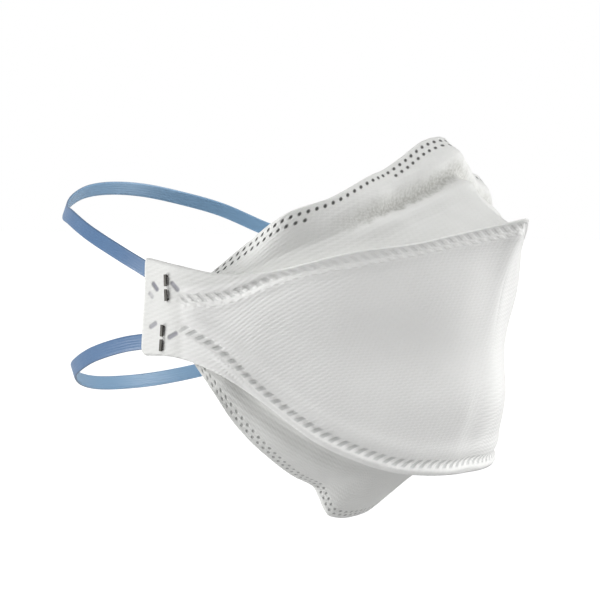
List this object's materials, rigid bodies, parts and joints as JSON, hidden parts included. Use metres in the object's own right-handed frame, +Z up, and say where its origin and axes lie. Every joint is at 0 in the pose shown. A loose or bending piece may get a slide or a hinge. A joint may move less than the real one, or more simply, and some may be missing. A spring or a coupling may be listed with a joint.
{
  "type": "disposable respirator",
  "caption": "Disposable flat-fold respirator, opened for wear: white welded nonwoven panels over nose, mouth and chin, held on by elastic headbands.",
  "frame": {"origin": "the middle of the nose panel's inner face, just under its upper edge, where the respirator sits on the bridge of the nose", "axes": "+Y towards the wearer, whose face goes in from +Y; +X towards the wearer's left; +Z up"},
  "size_m": [0.1256, 0.1528, 0.1098],
  "materials": {
    "cover": "matt off-white nonwoven, finely embossed on the diagonal",
    "elastic": "smooth satin blue elastic",
    "steel": "dull grey wire"
  },
  "bodies": {
    "root": {"centre_panel": "cover", "nose_panel": "cover", "chin_panel": "cover", "upper_headband": "elastic", "lower_headband": "elastic", "upper_staple_right": "steel", "upper_staple_left": "steel", "lower_staple_right": "steel", "lower_staple_left": "steel"}
  },
  "joints": []
}
